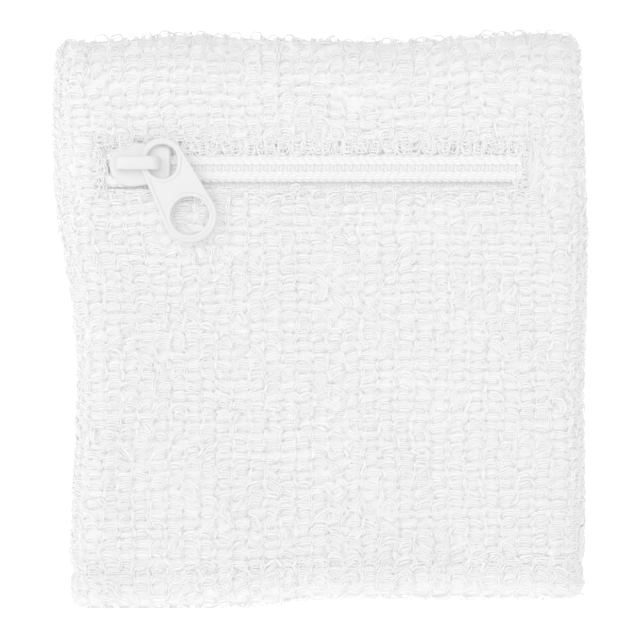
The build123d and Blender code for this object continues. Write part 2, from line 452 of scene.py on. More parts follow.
def left_reach(z):
    """How far left the outline lies at each height: it bulges beside the slider and is narrow below."""
    return np.interp(z, [0, 14, 33, 48, 61, 73, 87], [38.7, 38.8, 37.7, 38.5, 41.7, 42.2, 41.4])


def right_reach(z):
    """How far right the outline lies at each height."""
    return np.interp(z, [0, 12, 33, 50, 66, 80, 87], [40.8, 41.3, 41.1, 41.8, 41.9, 41.1, 40.8])


def top_rise(x):
    """How uneven the top fold is: a hump left of the middle, and another near its right end."""
    at = [-40, -30, -20, -8, 8, 22, 34, 37, 40]
    return np.interp(x, at, [0.5, 0.8, 2.0, 1.1, 0.5, 1.2, 2.3, 1.8, 0.6])


def hem_rise(x):
    """How uneven the hem is: it rises from its left end to its right."""
    return np.interp(x, [-40, -14, -8, 2, 30, 40], [-0.4, 0.0, 0.7, 1.6, 1.5, 1.4])


def rounded_curve(curve, at, spread):
    """The curve with its corners rounded over the given distance."""
    offsets = np.linspace(-1, 1, 7) * spread
    return sum(curve(at + offset) for offset in offsets) / len(offsets)


TOP_LEAN = 4.8              # how far both walls lean inwards at the top
LEAN_FROM = 8.0             # and how far below the top that begins
LEAN_CLEAR = 3.3            # the wrist opening's way, where nothing leans
ZIP_CALM, ZIP_CALM_END = 5.0, 11.0      # the cloth stays flat and straight this near to the zip
BULGE_ROUND, RISE_ROUND = 6.0, 4.0      # over which the outline's corners are rounded
PUFF = 0.45                 # how far the walls swell and sink


def shaped(points):
    """The straight tube's points moved to the worn, slightly uneven shape of the real band."""
    x, y, z = points[..., 0], points[..., 1], points[..., 2]
    left, right = (rounded_curve(curve, z, BULGE_ROUND) for curve in (left_reach, right_reach))
    reach = np.where(x < 0, left, right)
    near_zip = 1 - smooth_step(ZIP_CALM, ZIP_CALM_END, np.abs(z - zip_z))
    towards_side = smooth_step(33.0, half_width, np.abs(x))
    widened = 1 + (reach / half_width - 1) * (1 - near_zip * (1 - towards_side))
    rise = rounded_curve(top_rise, x, RISE_ROUND) * smooth_step(zip_z + 5, top, z)
    rise = rise + rounded_curve(hem_rise, x, RISE_ROUND) * (1 - smooth_step(0.0, 16.0, z))
    flat_zip = 1 - near_zip * (y < 0)
    away_from_side = 1 - smooth_step(half_width - 8, half_width, np.abs(x))
    puff = PUFF * wander(x, z, 34.0, 5) * flat_zip * away_from_side
    outside_way = np.clip((np.abs(y) - LEAN_CLEAR) / 4.0, 0, 1)
    lean = TOP_LEAN * smooth_step(top - LEAN_FROM, top + 2.0, z) * outside_way
    thick = np.sign(y) * (puff * np.abs(y) / half_depth - lean)
    return np.stack([x * widened, y + thick, z + rise], -1)


def seam_dent(walk):
    """How far the linking seam draws the cloth in, along the walk."""
    from_seam = np.minimum(walk, WALK - walk)
    return 0.35 * np.exp(-((from_seam / 1.1) ** 2))


def cloth_at(s, walk):
    """Points of the ground's pile side."""
    s, walk = np.broadcast_arrays(np.asarray(s, float), np.mod(np.asarray(walk, float), WALK))
    section = np.clip(np.searchsorted(walk_ends, walk, side="right") - 1, 0, 4)
    f = walk - walk_ends[section]
    turn = f / fold_walk * math.pi
    heights = [
        seam_z + f,
        ground_top - FOLD + FOLD * np.sin(turn),
        ground_top - FOLD - f,
        ground_bottom + FOLD - FOLD * np.sin(turn),
        ground_bottom + FOLD + f,
    ]
    z = np.choose(section, heights)
    inwards = [0 * f, (1 - np.cos(turn)) / 2, 1 + 0 * f, (1 + np.cos(turn)) / 2, 0 * f]
    inward = np.choose(section, inwards)
    share = outer.share(s)
    outer_x, outer_y = outer.at(share, seam_dent(walk))
    inner_x, inner_y = inner.at(share, 0.0)
    x = outer_x + (inner_x - outer_x) * inward
    y = outer_y + (inner_y - outer_y) * inward
    return shaped(np.stack([x, y, z], -1))


def cloth_frame(s, walk):
    """Points with their directions round the band, along the walk and out of the pile side."""
    step = 0.2
    points = cloth_at(s, walk)
    round_ = unit(cloth_at(s + step, walk) - cloth_at(s - step, walk))
    along = unit(cloth_at(s, walk + step) - cloth_at(s, walk - step))
    out = unit(np.cross(round_, along))
    return points, round_, np.cross(out, round_), out


def walk_of_z(z):
    """Distance along the walk of a height on the outer layer."""
    return z - seam_z


# ---------------------------------------------------------------- knitted ground, with the zip's slot
def wall_s(x):
    """Distance round the outline of a place on the flat front."""
    return x + (outer.half_x - outer.radius)


def nap(s, walk):
    """The matted pile on the ground round the top fold and the hem's fold, where the loops crowd."""
    at_fold = np.exp(-(((walk - fold_middle) / 2.6) ** 4))
    at_hem = np.exp(-(((walk - hem_middle) / 2.2) ** 4))
    uneven = 1 + 0.25 * wander(s, walk, 2.3, 41) + 0.1 * wander(s, walk, 1.1, 42)
    return 0.42 * (at_fold + at_hem) * uneven


def two_sided(front, count):
    """The front's faces, the same on a back whose points follow the front's, and walls at the rims."""
    edges = np.vstack([front[:, [i, (i + 1) % 4]] for i in range(4)])
    pairs = {tuple(e) for e in edges.tolist()}
    rim = np.array(sorted(e for e in pairs if (e[1], e[0]) not in pairs))
    walls = np.stack([rim[:, 1], rim[:, 0], rim[:, 0] + count, rim[:, 1] + count], 1)
    return np.vstack([front, front[:, ::-1] + count, walls])


def ground_sheet(name, walks, arounds, hole=None):
    """A sheet of ground knit over a grid of distances, with a hole from s to s and walk to walk.

    The pile side is cloth_at with its nap, and the other side lies GROUND behind it.
    """
    s, walk = np.meshgrid(arounds, walks, indexing="xy")
    points, _, _, out = cloth_frame(s, walk)
    points = points + out * nap(s, walk)[..., None]
    front = grid_faces(*s.shape, column_wraps=True)
    if hole:
        left, right, low, high = hole
        corner_s = s.ravel()[front[:, 0]] + 1e-3
        corner_walk = walk.ravel()[front[:, 0]] + 1e-3
        inside = (corner_s > left) & (corner_s < right) & (corner_walk > low) & (corner_walk < high)
        front = front[~inside]
    flat = points.reshape(-1, 3)
    both = np.vstack([flat, flat - out.reshape(-1, 3) * GROUND])
    used, faces = np.unique(two_sided(front, s.size), return_inverse=True)
    uv = np.stack([s.ravel() / outer.length, walk.ravel() / WALK], 1)
    uv = np.vstack([uv * 0.5, uv * 0.5 + 0.5])
    return make_mesh(name, both[used], faces.reshape(-1, 4), ground_knit, "band", map_at=uv[used])


def even(low, high, step):
    """Evenly spaced values from low to high, about a step apart."""
    return np.linspace(low, high, max(2, int(round((high - low) / step)) + 1))


SLOT_EASE = 0.45            # how far the slot gapes beyond the bar tack beside the slider
slot_low_walk = walk_of_z(zip_z - slot_half)
slot_high_walk = walk_of_z(zip_z + slot_half)
slot_s = (wall_s(slot_left - SLOT_EASE), wall_s(slot_right))
around = np.concatenate(
    [
        even(0, slot_s[0], 1.0)[:-1],
        even(*slot_s, 1.0)[:-1],
        even(slot_s[1], outer.length, 1.0)[:-1],
    ]
)
outer_walks = np.concatenate(
    [
        even(0, slot_low_walk, 0.8)[:-1],
        even(slot_low_walk, slot_high_walk, 0.8)[:-1],
        even(slot_high_walk, fold_middle, 0.5),
    ]
)
outer_ground = ground_sheet(
    "outer_ground", outer_walks, around, (*slot_s, slot_low_walk, slot_high_walk)
)
inner_ground = ground_sheet("inner_ground", even(fold_middle, WALK, 0.8), around)


# ---------------------------------------------------------------- the loops of pile
STRAND = 0.092              # radius of one strand of pile yarn
STRAND_STEP = 0.3           # between the strands of one loop
ARCH_SHAPE = 0.56           # 1 is a round arch; less is flatter on top, with straighter legs
FOOT_DEPTH = 0.3            # how deep the loops' feet sit in the ground
LEG_DROP = 0.55             # how far below its head a loop's legs are rooted


def loop_paths(s, walk, width, height, lift, twist, lean, strands, points_each=10):
    """Arched loops of several parallel strands, standing on the cloth.

    width is between a loop's feet; height is its length out of the cloth; lift is how far it lies over
    along the walk (radians from standing straight out); twist turns it about the cloth's normal, and
    lean shifts its head round the band. All are arrays with one value for each loop.
    """
    root, round_, along, out = cloth_frame(s, walk)
    foot = np.cos(twist)[:, None] * round_ + np.sin(twist)[:, None] * along
    over = np.cos(twist)[:, None] * along - np.sin(twist)[:, None] * round_
    turn = np.linspace(0, math.pi, points_each)
    arch = np.sin(turn) ** ARCH_SHAPE
    spread = -np.sign(np.cos(turn)) * np.abs(np.cos(turn)) ** ARCH_SHAPE
    head = np.cos(lift)[:, None] * out + np.sin(lift)[:, None] * over
    paths = []
    for strand in range(strands):
        place = strand - (strands - 1) / 2
        size = height * (1 - 0.07 * strand + random.normal(0, 0.04, len(s)))
        wide = width * (1 - 0.11 * strand) + random.normal(0, 0.09, len(s))
        beside = STRAND_STEP * -place + random.normal(0, 0.07, len(s))
        crown = 0.1 - 0.07 * place * place + random.normal(0, 0.07, len(s))
        centre = random.normal(0, 0.08, len(s)) + lean
        skew = 1 + random.normal(0, 0.12, len(s))[:, None] * (turn / math.pi - 0.5)
        sideways = wide[:, None] / 2 * spread + centre[:, None] * arch
        path = (
            root[:, None]
            + foot[:, None] * sideways[..., None]
            + head[:, None] * (size[:, None] * arch * skew)[..., None]
            + over[:, None] * (beside[:, None] * arch - LEG_DROP * (1 - arch))[..., None]
            + out[:, None] * (crown[:, None] * arch - FOOT_DEPTH * (1 - arch))[..., None]
        )
        paths.append(path)
    facing = np.cross(foot, head)
    return paths, facing


CLEAR_HALF = slot_half + 0.12           # half the height of the way that stays free of loops
CLEAR_LEFT = slot_left - SLOT_EASE - 0.6
CLEAR_RIGHT = slot_right + 1.2
OFF_FLOOR = 0.16


def cleared(paths):
    """Loops pushed off the slot, where the slider runs, and off the floor."""
    x, y, z = paths[..., 0], paths[..., 1], paths[..., 2]
    from_zip = z - zip_z
    inside = (x > CLEAR_LEFT) & (x < CLEAR_RIGHT) & (y < 0) & (np.abs(from_zip) < CLEAR_HALF)
    bunched = np.sign(from_zip) * (CLEAR_HALF + 0.15 * np.abs(from_zip) / CLEAR_HALF)
    z = np.where(inside, zip_z + bunched, z)
    return np.stack([x, y, np.maximum(z, OFF_FLOOR)], -1)


def pile_piece(name, s, walk, field, strands, sides=4, points_each=10, radius=STRAND):
    """One piece of loops. field gives each loop's width, height, lift, twist and lean."""
    paths, facing = loop_paths(s, walk, *field, strands, points_each)
    points, faces = joined([tubes(cleared(path), radius, sides, facing) for path in paths])
    span = np.linspace(-0.004, 0.004, points_each)[:, None]
    ring = np.linspace(-0.002, 0.002, sides)
    u = (s / outer.length)[:, None, None] + span + 0 * ring
    v = (walk / WALK)[:, None, None] + 0 * span + ring
    one = np.stack([u, v], -1).reshape(-1, 2)
    return make_mesh(name, points, faces, yarn, "band", map_at=np.tile(one, (strands, 1)))


COURSE = 1.49               # between rows of loops
WALE = 2.5                  # between columns of loops
PARTING = 2.2               # x of the disturbed column where the loops part
CALM_SIDE = 5.0             # the loops lie flatter this near to the band's two sides


def places(courses, wale):
    """Where the loops stand: courses along the walk, wales round the band, slightly uneven."""
    wales = int(round(outer.length / wale))
    column = (np.arange(wales) + 0.5) * outer.length / wales
    s, walk = np.meshgrid(column, courses)
    s = s + 0.3 * wander(s, walk, 26.0, 11) + random.normal(0, 0.16, s.shape)
    walk = walk + 0.2 * wander(s, walk, 19.0, 12) + random.normal(0, 0.11, s.shape)
    return np.mod(s.ravel(), outer.length), walk.ravel()


def loop_field(s, walk, wide, tall, lie):
    """Width, height, lift, twist and lean of each loop, with calm and untidy patches."""
    count = len(s)
    x = s - wall_s(0)
    untidy = smooth_step(0.1, 0.9, wander(s, walk, 21.0, 21)) * 0.9 + 0.25
    beside_parting = np.exp(-(((x - PARTING - 0.8 * wander(walk, walk, 18.0, 31)) / 2.0) ** 2))
    beside_parting = beside_parting * (walk < walk_of_z(zip_z - 5))
    untidy = untidy + beside_parting * 1.2
    twist = 0.26 * wander(s, walk, 15.0, 22) + random.normal(0, 0.18, count) * (0.6 + untidy)
    lift = lie + 0.22 * wander(s, walk, 13.0, 23) + random.normal(0, 0.14, count) * (0.6 + untidy)
    lean = 0.2 * wander(s, walk, 17.0, 24) + random.normal(0, 0.14, count) * (0.5 + untidy)
    width = wide * (1 + random.normal(0, 0.1, count)) * (1 + 0.1 * wander(s, walk, 9.0, 25))
    height = tall * (1 + random.normal(0, 0.09, count) * (0.7 + untidy))
    stray = random.random(count) < 0.06 * (0.5 + untidy)
    twist = np.where(stray, twist + random.normal(0, 0.9, count), twist)
    height = np.where(stray, height * 1.2, height)
    from_middle = np.abs(outer.at(outer.share(s), 0.0)[0])
    side = smooth_step(half_width - CALM_SIDE, half_width - 1.5, from_middle)
    lift = lift + side * (1.2 - lift) * 0.8
    return np.array([width, height * (1 - 0.25 * side), lift, twist, lean])


def outside_slot(s, walk, grow):
    """True for places that aren't in the slot, with a margin."""
    inside = (s > slot_s[0] - grow) & (s < slot_s[1] + grow)
    inside &= (walk > slot_low_walk - grow) & (walk < slot_high_walk + grow)
    return ~inside


def pile_band(
    name, courses, strands=4, wale=WALE, wide=2.2, tall=1.45, lie=0.34, turned=False, **more
):
    """A few courses of loops. Turned ones stand between the columns, a quarter turn from the rest."""
    s, walk = places(courses, wale)
    if turned:
        s, walk = np.mod(s + wale / 2, outer.length), walk + COURSE * 0.4
    keep = outside_slot(s, walk, 0.2)
    s, walk = s[keep], walk[keep]
    field = loop_field(s, walk, wide, tall, lie)
    if turned:
        field[3] = np.where(random.random(len(s)) < 0.5, 1, -1) * (math.pi / 2 + field[3] * 1.5)
    return pile_piece(name, s, walk, field, strands, **more)


BANDS = 9                   # the wall's loops are split into so many pieces
wall_courses = np.arange(0.55, walk_ends[1] - 0.4, COURSE)
fold_courses = np.arange(wall_courses[-1] + COURSE, walk_ends[2] + 1.0, COURSE)
for band, courses in enumerate(np.array_split(wall_courses, BANDS)):
    pile_band(f"pile_outer_{band + 1}", courses)
    pile_band(
            f"pile_between_{band + 1}", courses, strands=2, wide=1.5, tall=1.25, lie=0.1,
            turned=True, points_each=8,
        )
pile_band("pile_top_fold", fold_courses, tall=1.3, lie=0.85)
fold_between = np.arange(fold_courses[0], fold_courses[-1], 1.1)
pile_band(
        "pile_between_fold", fold_between, strands=3, wide=1.7, tall=0.95, lie=0.5, turned=True,
        points_each=8,
    )
inside_courses = np.arange(fold_courses[-1] + 1.9, walk_ends[3], 1.9)
inner_pile = [
    pile_band(
        f"pile_inner_{half}", courses, strands=2, wale=2.9, wide=2.3, tall=1.1, lie=0.9,
        sides=3, points_each=7, radius=0.17,
    )
    for half, courses in zip(("upper", "lower"), np.array_split(inside_courses, 2))
]
hem_courses = np.arange(WALK - 0.4, inside_courses[-1] + 1.0, -1.3)[::-1]
inner_pile.append(pile_band("pile_hem", hem_courses, tall=1.25, lie=0.6))
inner_pile.append(
    pile_band(
        "pile_between_hem", hem_courses, strands=3, wide=1.5, tall=1.1, lie=0.2, turned=True,
        points_each=8,
    )
)


# ---------------------------------------------------------------- the zip
PITCH = 1.18                # between the turns of one coil
FILAMENT = 0.28             # radius of the nylon
MESH_DEPTH = 0.58           # how far each coil's heads reach past the middle of the chain
CORE_HALF = 0.8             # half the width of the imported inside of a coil
CORE_DEPTH = 0.22           # how far it lies behind the turns
CHAIN_HALF = 1.97           # half the width of the closed chain
PARTS_AT, APART_AT = 5.6, 2.6           # from the slider's nose: where the halves part, and are apart
chain_left, chain_right = coil_low[0], coil_high[0]
chain_z = zip_z - 0.5       # the chain sags a little below the slider's middle
chain_spread = coil_high[2] - zip_z - CHAIN_HALF
coil_middle = (tape_front + coil_front) / 2


def spread_at(x):
    """How far the slider parts each half of the chain."""
    from_nose = x - slider_low[0]
    return chain_spread * smooth_step(PARTS_AT, APART_AT, from_nose)


def coil(side):
    """A flattened spiral of nylon, round its packed inside. Its heads lock between the other half's."""
    turns = (chain_right - chain_left) / PITCH
    t = np.arange(0, turns * 2 * math.pi, 2 * math.pi / 20)
    x = chain_left + PITCH * (t / (2 * math.pi)) + side * PITCH / 4
    x = x + 0.16 * np.sin(2 * t)
    reach = (CHAIN_HALF + MESH_DEPTH) / 2
    across = CHAIN_HALF - reach - (reach - FILAMENT) * np.cos(t)
    z = chain_z + side * (across + spread_at(x))
    y = coil_middle - ((tape_front - coil_front) / 2 - FILAMENT) * np.sin(t)
    bead = FILAMENT * (1 + 0.25 * np.maximum(np.cos(t), 0) ** 6)
    spiral = tubes(np.stack([x, y, z], 1)[None], bead, 8, (1, 0, 0))
    core_x = np.arange(chain_left, chain_right, 0.5)
    core_z = chain_z + side * (CORE_HALF + spread_at(core_x))
    route = np.stack([core_x, np.full_like(core_x, coil_middle), core_z], 1)
    core = rail(route, (0, 1, 0), CORE_HALF, (tape_front - coil_front) / 2 - CORE_DEPTH)
    return joined([spiral, core])


# each row of stitches: its distance from the middle of the chain, and how far it is sunk
STITCH_ROWS = ((0.74, 0.0), (1.13, 0.0), (1.52, 0.0), (1.84, 0.4))


def coil_stitches(side):
    """Rows of plump stitches that bind the coil to its tape, one stitch to each turn."""
    x = np.arange(chain_left, chain_right, PITCH / 10)
    parts = []
    for row, (from_middle, sunk) in enumerate(STITCH_ROWS):
        beat = 2 * math.pi * (x / PITCH + 0.25 * row)
        y = coil_front - 0.1 + sunk - 0.07 * np.cos(beat)
        z = chain_z + side * (from_middle + spread_at(x) + 0.07 * np.sin(beat))
        radius = 0.235 + 0.035 * np.cos(beat)
        parts.append(tubes(np.stack([x, y, z], 1)[None], radius[None], 8, (0, -1, 0)))
    return joined(parts)


CORD_FROM_MIDDLE, CORD_RADIUS = 1.1, 0.3


def core_cord(side):
    """The cord inside one coil."""
    x = np.arange(chain_left, chain_right, 0.6)
    z = chain_z + side * (CORD_FROM_MIDDLE + spread_at(x))
    route = np.stack([x, np.full_like(x, coil_middle), z], 1)
    return tubes(route[None], CORD_RADIUS, 8, (0, -1, 0))


RIB = 0.59                  # between the tape's crosswise ribs
RIB_DEPTH = 0.22
SELVEDGE = 0.04             # each tape's inner edge, from the middle of the chain


def tape(low, high, side):
    """A strip of ribbed tape, from a CAD tape's box, whose inner edge follows the coil."""
    x = np.arange(low[0], high[0] + 1e-6, RIB / 6)
    inner_edge = chain_z + side * SELVEDGE
    z = np.linspace(inner_edge if side > 0 else low[2], high[2] if side > 0 else inner_edge, 25)
    gx, gz = np.meshgrid(x, z)
    share_in = 1 - np.abs(gz - chain_z) / (z[-1] - z[0])
    gz = gz + side * spread_at(gx) * np.clip(share_in, 0, 1)
    rib = 0.5 + 0.5 * np.cos(2 * math.pi * gx / RIB + 0.3 * np.sin(gz * 2.2))
    front = np.stack([gx, low[1] + RIB_DEPTH * (1 - rib), gz], -1).reshape(-1, 3)
    back = np.stack([gx, high[1] - 0.06 * rib, gz], -1).reshape(-1, 3)
    return np.vstack([front, back]), two_sided(grid_faces(*gx.shape), gx.size)


def parts_with_slider(piece):
    """Gives a piece of the zip a mesh of its own."""
    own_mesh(piece)


def zip_half(half, side, low, high):
    """The tape, coil, stitches and core cord of one half of the zip."""
    ribbed = make_mesh(f"ribbed_tape_{half}", *tape(low, high, side), tape_cloth, "band")
    turns = make_mesh(f"coil_turns_{half}", *coil(side), nylon, "band")
    stitches = make_mesh(f"coil_thread_{half}", *coil_stitches(side), thread, "band")
    cord = make_mesh(f"core_cord_{half}", *core_cord(side), thread, "band")
    for piece, stands_for, slot in (
        (ribbed, "zipper_tape", "zip_tape"),
        (turns, "coil", "zip_coil"),
        (stitches, "coil_stitch", "sewing_thread"),
        (cord, "coil_cord", "zip_tape"),
    ):
        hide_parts(f"{stands_for}_{half}")
    for piece in (ribbed, turns, stitches, cord):
        parts_with_slider(piece)


zip_half("upper", 1, tape_low, tape_high)
zip_half("lower", -1, lower_tape_low, lower_tape_high)


def bar_tack(name, low, high, count):
    """A few tight stitches across the end of the chain."""
    stitches = []
    for i in range(count):
        x = low[0] + (high[0] - low[0]) * (i + 0.5) / count + random.normal(0, 0.03)
        t = np.linspace(0, 1, 14)
        z = np.linspace(low[2], high[2], 14)
        y = tape_front - 0.1 - (0.6 + random.normal(0, 0.05)) * np.sin(math.pi * t) ** 0.4
        slant = random.normal(0, 0.12) * (2 * t - 1)
        stitches.append(np.stack([x + slant, y, z + random.normal(0, 0.15)], 1))
    points, faces = tubes(np.array(stitches), 0.17, 6, (1, 0, 0))
    return make_mesh(name, points, faces, thread, "band")


for end, low, high in (
    ("left", tack_left_low, tack_left_high), ("right", tack_right_low, tack_right_high)
):
    tack = bar_tack(f"tack_stitches_{end}", low, high, 5)
    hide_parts(f"bar_tack_{end}")


# ---------------------------------------------------------------- sewing in the cloth
def linking_seam():
    """Overlock stitches that wander up and down the groove between the two ends of the tube."""
    s = np.arange(0, outer.length, 0.11)
    beat = 2 * math.pi * s / 1.55
    parts = []
    for shift in (0.0, math.pi):
        points, _, _, out = cloth_frame(s, 0.45 * np.sin(beat + shift))
        path = points + out * (0.1 + 0.1 * np.cos(beat + shift))[:, None]
        parts.append(tubes(path[None], 0.17, 6, (0.05, 0.02, 1.0)))
    points, faces = joined(parts)
    return make_mesh("linking_thread", points, faces, thread, "band")


seam = linking_seam()
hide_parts("hem_seam")


def lockstitches(name, z, reach_from, reach_to):
    """A row of lockstitches sunk in the pile, through the cloth and the tape behind it."""
    stitch, gap = 2.1, 0.35
    starts = np.arange(reach_from, reach_to - stitch, stitch + gap)
    t = np.linspace(0, 1, 9)
    x = starts[:, None] + stitch * t
    sunk = 1 - np.sin(math.pi * t) ** 0.5
    level = np.full_like(x, z)
    front = np.stack([x, 0 * x - outer.half_y - 0.1 + 0.5 * sunk, level], -1)
    next_x = x + (stitch + gap) / 2
    behind = np.stack([next_x, 0 * x + tape_back + 0.15 - 0.2 * sunk, level], -1)
    points, faces = tubes(np.vstack([front, behind]), 0.16, 6, (0, 0, 1))
    return make_mesh(name, points, faces, thread, "band")


for half, z in (
    ("upper", (stitch_low[2] + stitch_high[2]) / 2),
    ("lower", 2 * zip_z - (stitch_low[2] + stitch_high[2]) / 2),
):
    row = lockstitches(f"lockstitch_{half}", z, slot_left, slot_right)
    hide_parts(f"tape_stitch_{half}")


# ---------------------------------------------------------------- the slot's edges
def edge_loops(name, x, z, turn, reach, wide, lift, squashed=None):
    """Loops at the slot's edge that lie over it, so that the slot looks narrower than its cut.

    turn is the way they point: 0 is up and a half turn is down. lift is how far they stand out of the
    cloth, in radians. Where squashed is given, the piece gets a mesh of its own.
    """
    count = max(np.size(x), np.size(z))
    x, z = x + random.normal(0, 0.16, count), z + random.normal(0, 0.12, count)
    field = (
        wide * (1 + random.normal(0, 0.1, count)),
        reach * (1 + random.normal(0, 0.12, count)),
        math.pi / 2 - lift + random.normal(0, 0.12, count),
        turn + random.normal(0, 0.16, count),
        random.normal(0, 0.15, count),
    )
    paths, facing = loop_paths(wall_s(x), walk_of_z(z), *field, 4)
    points, faces = joined([tubes(path, STRAND, 4, facing) for path in paths])
    piece = make_mesh(name, points, faces, yarn, "band")
    if squashed is not None:
        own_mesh(piece)
    return piece


upper_edge, lower_edge = zip_z + slot_half, zip_z - slot_half
past_slider = slider_high[0] + 1.0
over_x = np.arange(past_slider, slot_right - 0.6, 1.25)
under_x = np.arange(past_slider, slot_right - 0.6, 1.6)
all_x = np.arange(slot_left - 1.5, slot_right + 1.5, 1.5)
nose_x = np.arange(slot_left - 0.2, pull_low[0] - 0.6, 1.2)
left_x, right_x = slot_left - SLOT_EASE - 0.4, slot_right + 0.5
end_z = np.arange(lower_edge + 0.4, upper_edge, 0.9)
UP, DOWN, RIGHT, LEFT = 0.0, math.pi, -math.pi / 2, math.pi / 2
fringe = [
    edge_loops("fringe_over_chain", over_x, upper_edge + 0.5, DOWN, 2.5, 1.7, 0.25, upper_edge),
    edge_loops("fringe_under_chain", under_x, lower_edge - 0.7, UP, 0.6, 1.8, 0.6, lower_edge),
    edge_loops("fringe_behind", over_x + 0.6, upper_edge + 0.3, DOWN, 2.1, 1.7, 0.05, upper_edge),
    edge_loops("fringe_upper", all_x, upper_edge + 1.5, DOWN, 1.7, 1.7, 0.5),
    edge_loops("fringe_lower", all_x, lower_edge - 1.3, UP, 1.2, 1.9, 0.8),
    edge_loops("fringe_at_slider", nose_x, upper_edge + 0.9, DOWN, 2.5, 1.6, 0.85),
    edge_loops("fringe_left", left_x, end_z, RIGHT, 1.5, 1.4, 0.6),
    edge_loops("fringe_right", right_x, end_z, LEFT, 2.2, 1.5, 0.45),
]

for sheet, node_name in ((outer_ground, "outer_sleeve"), (inner_ground, "inner_sleeve")):
    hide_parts(node_name)


# ---------------------------------------------------------------- the castings
def hull_outline(circles, inset=0.0, count=120):
    """Outline drawn tight round some circles (x, z, radius), moved inwards by inset."""
    turn = np.arange(count) * 2 * math.pi / count
    normal = np.stack([np.cos(turn), np.sin(turn)], 1)
    centres = np.array([[x, z] for x, z, _ in circles])
    radii = np.array([radius for _, _, radius in circles])
    touched = np.argmax(normal @ centres.T + radii, axis=1)
    return centres[touched] + (radii[touched] - inset)[:, None] * normal


def in_front(outline, y):
    """An outline's points at one depth."""
    return np.stack([outline[:, 0], np.full(len(outline), y), outline[:, 1]], 1)


def domed(circles, profile, dome):
    """A closed cap: rings of the outline at (inset, y), then smaller and smaller copies at (share, y)."""
    middle = hull_outline(circles).mean(axis=0)
    rings = [(hull_outline(circles, inset), y) for inset, y in profile]
    last = rings[-1][0]
    rings += [(middle + share * (last - middle), y) for share, y in dome]
    points = np.array([in_front(ring, y) for ring, y in rings])
    return points.reshape(-1, 3), grid_faces(len(rings), points.shape[1], column_wraps=True)


def plate_casting(circles, front, back, edge, dome):
    """A cast plate with rounded edges, domed towards the front by the given rise."""
    turn = np.linspace(0, math.pi / 2, 6)
    rounding = list(zip(edge * (1 - np.cos(turn)), front + dome + edge * (1 - np.sin(turn))))
    rise = [(share, front + dome * share**2) for share in (0.97, 0.85, 0.65, 0.4, 0.15, 0.001)]
    chamfer = edge * 0.4
    face = domed(circles, [(chamfer, back), (0.0, back - chamfer), *rounding], rise)
    under, under_faces = domed(circles, [(chamfer, back)], [(0.5, back), (0.001, back)])
    return joined([face, (under, under_faces[:, ::-1])])


def bend(corner_x, corner_y, radius, start, stop):
    """Quarter of a circle in the level plane, by its centre."""
    turn = np.linspace(start, stop, 7)[1:-1]
    return [(corner_x + radius * math.cos(a), corner_y + radius * math.sin(a)) for a in turn]


SLIDER_TAIL = 5.5           # width of the slider's tail
TAIL_CORNER = 0.9
FRONT_PLATE, BACK_PLATE = 0.9, 0.6
WALL_FROM, WALL_HALF = 2.25, 0.18       # the side walls: from the middle, and half their thickness
LIP_HALF_LENGTH, LIP_INSET = 1.9, 0.42  # the bead along the tail's edge
WEDGE_NOSE, WEDGE_TIP = (1.6, 0.45), (3.8, 0.15)    # from the slider's nose, and the radius there
BRIDGE_BAR, BRIDGE_WIDTH, BRIDGE_BEND = 0.9, 2.1, 0.85
BRIDGE_FROM, BRIDGE_TO = 0.8, 7.8       # from the slider's nose
pull_back = pull_high[1]
plate_face = pull_back + 0.25


def slider_casting():
    """Front plate, walls, wedge and back plate of the slider, with the bridge that holds the pull."""
    nose = (slider_high[2] - slider_low[2]) / 2
    tail_x, tail_z = slider_high[0] - TAIL_CORNER, SLIDER_TAIL / 2 - TAIL_CORNER
    circles = [
        (slider_low[0] + nose, zip_z, nose),
        (tail_x, zip_z + tail_z, TAIL_CORNER),
        (tail_x, zip_z - tail_z, TAIL_CORNER),
    ]
    front = plate_casting(circles, plate_face, plate_face + FRONT_PLATE, 0.4, 0.1)
    rear = slider_high[1]
    back = plate_casting(circles, rear - BACK_PLATE, rear, 0.2, 0.0)
    plate_back = plate_face + FRONT_PLATE
    outline = hull_outline(circles, 0.2)
    parts = [front, back]
    for side in (1, -1):
        wall = outline[side * (outline[:, 1] - zip_z) > WALL_FROM]
        wall = wall[np.argsort(wall[:, 0])]
        wall_depth = (tape_front - plate_back) / 2 - 0.05
        middle = in_front(wall, (plate_back + tape_front) / 2)
        parts.append(rail(middle, (0, 1, 0), WALL_HALF, wall_depth))
    lip_z = zip_z + np.linspace(-LIP_HALF_LENGTH, LIP_HALF_LENGTH, 9)
    lip = np.stack([np.full_like(lip_z, slider_high[0] - LIP_INSET), lip_z], 1)
    parts.append(rail(in_front(lip, plate_face + 0.1), (0, 1, 0), 0.26, 0.2))
    wedge = [(slider_low[0] + along, zip_z, radius) for along, radius in (WEDGE_NOSE, WEDGE_TIP)]
    parts.append(plate_casting(wedge, plate_back - 0.1, rear - BACK_PLATE + 0.1, 0.05, 0.0))
    bar_y = slider_low[1] + BRIDGE_BAR / 2
    left = slider_low[0] + BRIDGE_FROM + BRIDGE_BAR / 2
    right = slider_low[0] + BRIDGE_TO - BRIDGE_BAR / 2
    rooted = plate_face + FRONT_PLATE / 2
    bend_y = bar_y + BRIDGE_BEND
    route = [(left, rooted), (left, bend_y + 0.3), (left, bend_y)]
    route += bend(left + BRIDGE_BEND, bend_y, BRIDGE_BEND, math.pi, 1.5 * math.pi)
    route += [(x, bar_y) for x in np.linspace(left + BRIDGE_BEND, right - BRIDGE_BEND, 8)]
    route += bend(right - BRIDGE_BEND, bend_y, BRIDGE_BEND, 1.5 * math.pi, 2 * math.pi)
    route += [(right, bend_y), (right, bend_y + 0.3), (right, rooted)]
    route = np.array([(x, y, zip_z) for x, y in route])
    parts.append(rail(route, (0, 0, 1), BRIDGE_BAR / 2, BRIDGE_WIDTH / 2, square=0.5))
    points, faces = joined(parts)
    return make_mesh("slider_casting", points, faces, paint, "slider")


